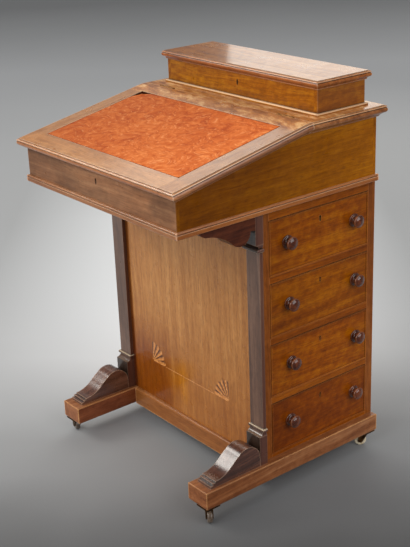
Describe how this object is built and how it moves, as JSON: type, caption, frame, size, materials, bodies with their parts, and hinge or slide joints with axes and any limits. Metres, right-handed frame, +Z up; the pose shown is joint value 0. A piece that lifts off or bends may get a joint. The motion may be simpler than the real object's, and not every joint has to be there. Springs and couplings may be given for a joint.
{
  "type": "davenport desk",
  "caption": "Small mahogany davenport desk: hinged leather writing slope and stationery box over a pedestal with drawers at the side, on sledge feet with casters.",
  "frame": {"origin": "on the floor, under the middle of the desk's overall width and depth", "axes": "+X to the right, the side where the drawers open; +Y to the back, away from the sitter; +Z up"},
  "size_m": [0.5482, 0.5445, 0.85],
  "materials": {
    "mahogany": "french polished mahogany",
    "dark_mahogany": "dark stained, polished",
    "lining_wood": "plain oak and pine lining, waxed",
    "boxwood": "pale boxwood, polished",
    "leather": "orange-brown skiver, worn",
    "brass": "aged brass",
    "ceramic": "cream glazed ceramic"
  },
  "bodies": {
    "desk": {"sledge_feet": "mahogany", "plinth_rails": "mahogany", "foot_scrolls": "dark_mahogany", "pilasters": "dark_mahogany", "top_brackets": "dark_mahogany", "front_panel": "mahogany", "fan_inlays": "boxwood", "back_panel": "lining_wood", "drawer_side_frame": "mahogany", "dummy_side_frame": "mahogany", "dummy_drawer_fronts": "mahogany", "dummy_knobs": "dark_mahogany", "dust_boards": "lining_wood", "desk_front": "mahogany", "desk_walls": "mahogany", "desk_floor": "lining_wood", "waist_moulding": "mahogany", "desk_top": "mahogany", "stationery_case": "mahogany", "inner_fittings": "lining_wood", "hinge_leaves": "brass", "lid_locks": "brass", "caster_plates": "brass"},
    "writing_lid": {"slope_lid": "mahogany", "leather_skiver": "leather", "slope_lid_brasses": "brass"},
    "writing_lid_bolt": {"slope_lock_bolt": "brass"},
    "box_lid": {"stationery_lid": "mahogany", "stationery_lid_brasses": "brass"},
    "box_lid_bolt": {"stationery_lock_bolt": "brass"},
    "drawer_1": {"drawer_1_front": "mahogany", "drawer_1_box": "lining_wood", "drawer_1_knobs": "dark_mahogany", "drawer_1_lock": "brass"},
    "drawer_1_lock_bolt": {"drawer_1_bolt": "brass"},
    "drawer_2": {"drawer_2_front": "mahogany", "drawer_2_box": "lining_wood", "drawer_2_knobs": "dark_mahogany", "drawer_2_lock": "brass"},
    "drawer_2_lock_bolt": {"drawer_2_bolt": "brass"},
    "drawer_3": {"drawer_3_front": "mahogany", "drawer_3_box": "lining_wood", "drawer_3_knobs": "dark_mahogany", "drawer_3_lock": "brass"},
    "drawer_3_lock_bolt": {"drawer_3_bolt": "brass"},
    "drawer_4": {"drawer_4_front": "mahogany", "drawer_4_box": "lining_wood", "drawer_4_knobs": "dark_mahogany", "drawer_4_lock": "brass"},
    "drawer_4_lock_bolt": {"drawer_4_bolt": "brass"},
    "small_drawer_left": {"inner_drawer_left": "lining_wood"},
    "small_drawer_right": {"inner_drawer_right": "lining_wood"},
    "front_right_caster": {"caster_front_right_horn": "brass"},
    "front_right_roller": {"caster_front_right_wheel": "ceramic"},
    "front_left_caster": {"caster_front_left_horn": "brass"},
    "front_left_roller": {"caster_front_left_wheel": "ceramic"},
    "back_right_caster": {"caster_back_right_horn": "brass"},
    "back_right_roller": {"caster_back_right_wheel": "ceramic"},
    "back_left_caster": {"caster_back_left_horn": "brass"},
    "back_left_roller": {"caster_back_left_wheel": "ceramic"}
  },
  "joints": [
    {"name": "writing_lid_hinge", "type": "hinge", "parent": "desk", "child": "writing_lid", "pos_m": [0, 0.06825, 0.77945], "axis": [-1, 0, 0], "range_deg": [0, 105]},
    {"name": "writing_lid_bolt_slide", "type": "slide", "parent": "desk", "child": "writing_lid_bolt", "axis": [1, 0, 0], "range_m": [0, 0.0065]},
    {"name": "box_lid_hinge", "type": "hinge", "parent": "desk", "child": "box_lid", "pos_m": [0, 0.2421, 0.8316], "axis": [-1, 0, 0], "range_deg": [0, 100]},
    {"name": "box_lid_bolt_slide", "type": "slide", "parent": "desk", "child": "box_lid_bolt", "axis": [1, 0, 0], "range_m": [0, 0.0065]},
    {"name": "drawer_1_slide", "type": "slide", "parent": "desk", "child": "drawer_1", "axis": [1, 0, 0], "range_m": [0, 0.33]},
    {"name": "drawer_1_bolt_slide", "type": "slide", "parent": "drawer_1", "child": "drawer_1_lock_bolt", "axis": [0, 0, 1], "range_m": [0, 0.006]},
    {"name": "drawer_2_slide", "type": "slide", "parent": "desk", "child": "drawer_2", "axis": [1, 0, 0], "range_m": [0, 0.33]},
    {"name": "drawer_2_bolt_slide", "type": "slide", "parent": "drawer_2", "child": "drawer_2_lock_bolt", "axis": [0, 0, 1], "range_m": [0, 0.006]},
    {"name": "drawer_3_slide", "type": "slide", "parent": "desk", "child": "drawer_3", "axis": [1, 0, 0], "range_m": [0, 0.33]},
    {"name": "drawer_3_bolt_slide", "type": "slide", "parent": "drawer_3", "child": "drawer_3_lock_bolt", "axis": [0, 0, 1], "range_m": [0, 0.006]},
    {"name": "drawer_4_slide", "type": "slide", "parent": "desk", "child": "drawer_4", "axis": [1, 0, 0], "range_m": [0, 0.33]},
    {"name": "drawer_4_bolt_slide", "type": "slide", "parent": "drawer_4", "child": "drawer_4_lock_bolt", "axis": [0, 0, 1], "range_m": [0, 0.006]},
    {"name": "small_drawer_left_slide", "type": "slide", "parent": "desk", "child": "small_drawer_left", "axis": [0, -1, 0], "range_m": [0, 0.12]},
    {"name": "small_drawer_right_slide", "type": "slide", "parent": "desk", "child": "small_drawer_right", "axis": [0, -1, 0], "range_m": [0, 0.12]},
    {"name": "front_right_swivel", "type": "hinge", "parent": "desk", "child": "front_right_caster", "pos_m": [0.246, -0.201, 0.0345], "axis": [0, 0, 1], "continuous": true},
    {"name": "front_right_axle", "type": "hinge", "parent": "front_right_caster", "child": "front_right_roller", "pos_m": [0.25293, -0.205, 0.0135], "axis": [-0.5, -0.866, 0], "continuous": true},
    {"name": "front_left_swivel", "type": "hinge", "parent": "desk", "child": "front_left_caster", "pos_m": [-0.246, -0.201, 0.0345], "axis": [0, 0, 1], "continuous": true},
    {"name": "front_left_axle", "type": "hinge", "parent": "front_left_caster", "child": "front_left_roller", "pos_m": [-0.25373, -0.19893, 0.0135], "axis": [0.2588, 0.9659, 0], "continuous": true},
    {"name": "back_right_swivel", "type": "hinge", "parent": "desk", "child": "back_right_caster", "pos_m": [0.246, 0.2467, 0.0345], "axis": [0, 0, 1], "continuous": true},
    {"name": "back_right_axle", "type": "hinge", "parent": "back_right_caster", "child": "back_right_roller", "pos_m": [0.24108, 0.2404, 0.0135], "axis": [-0.788, 0.6157, 0], "continuous": true},
    {"name": "back_left_swivel", "type": "hinge", "parent": "desk", "child": "back_left_caster", "pos_m": [-0.246, 0.2467, 0.0345], "axis": [0, 0, 1], "continuous": true},
    {"name": "back_left_axle", "type": "hinge", "parent": "back_left_caster", "child": "back_left_roller", "pos_m": [-0.23987, 0.24156, 0.0135], "axis": [-0.6428, -0.766, 0], "continuous": true}
  ]
}
